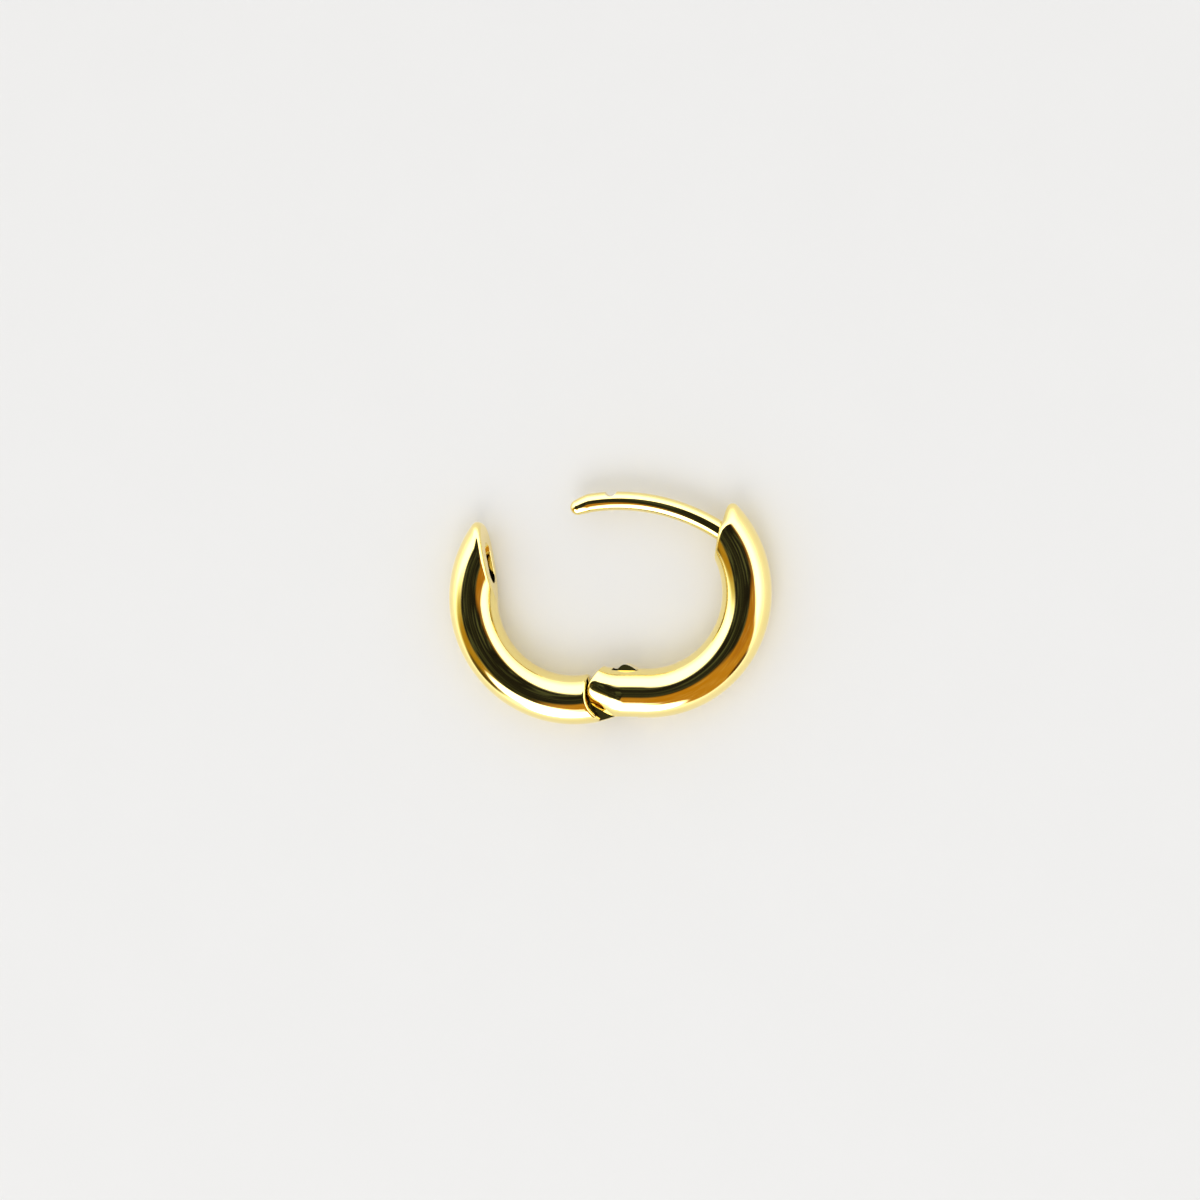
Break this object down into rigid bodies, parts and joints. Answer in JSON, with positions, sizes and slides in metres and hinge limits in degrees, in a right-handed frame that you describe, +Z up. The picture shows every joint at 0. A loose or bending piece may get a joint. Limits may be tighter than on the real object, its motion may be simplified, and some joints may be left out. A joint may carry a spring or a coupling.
{
  "type": "huggie earring",
  "caption": "Hinged hoop of polished round tube, lying open, with a curved notched ear post on one half and a slot for it in the other.",
  "frame": {"origin": "under the middle of the open earring, on the surface that it lies on", "axes": "+X runs across the hoop from the catch half to the post half, +Y from the hinge to the earlobe gap, +Z up along the hinge pin"},
  "size_m": [0.0166, 0.0116, 0.0025],
  "materials": {
    "polished_gold": "mirror polished yellow gold plate"
  },
  "bodies": {
    "post_side": {"post_half": "polished_gold", "hinge_pin": "polished_gold"},
    "catch_side": {"catch_half": "polished_gold"}
  },
  "joints": [
    {"name": "hinge", "type": "hinge", "parent": "post_side", "child": "catch_side", "pos_m": [0, -0.00438, 0.00125], "axis": [0, 0, 1], "range_deg": [-42.5, 12]}
  ]
}
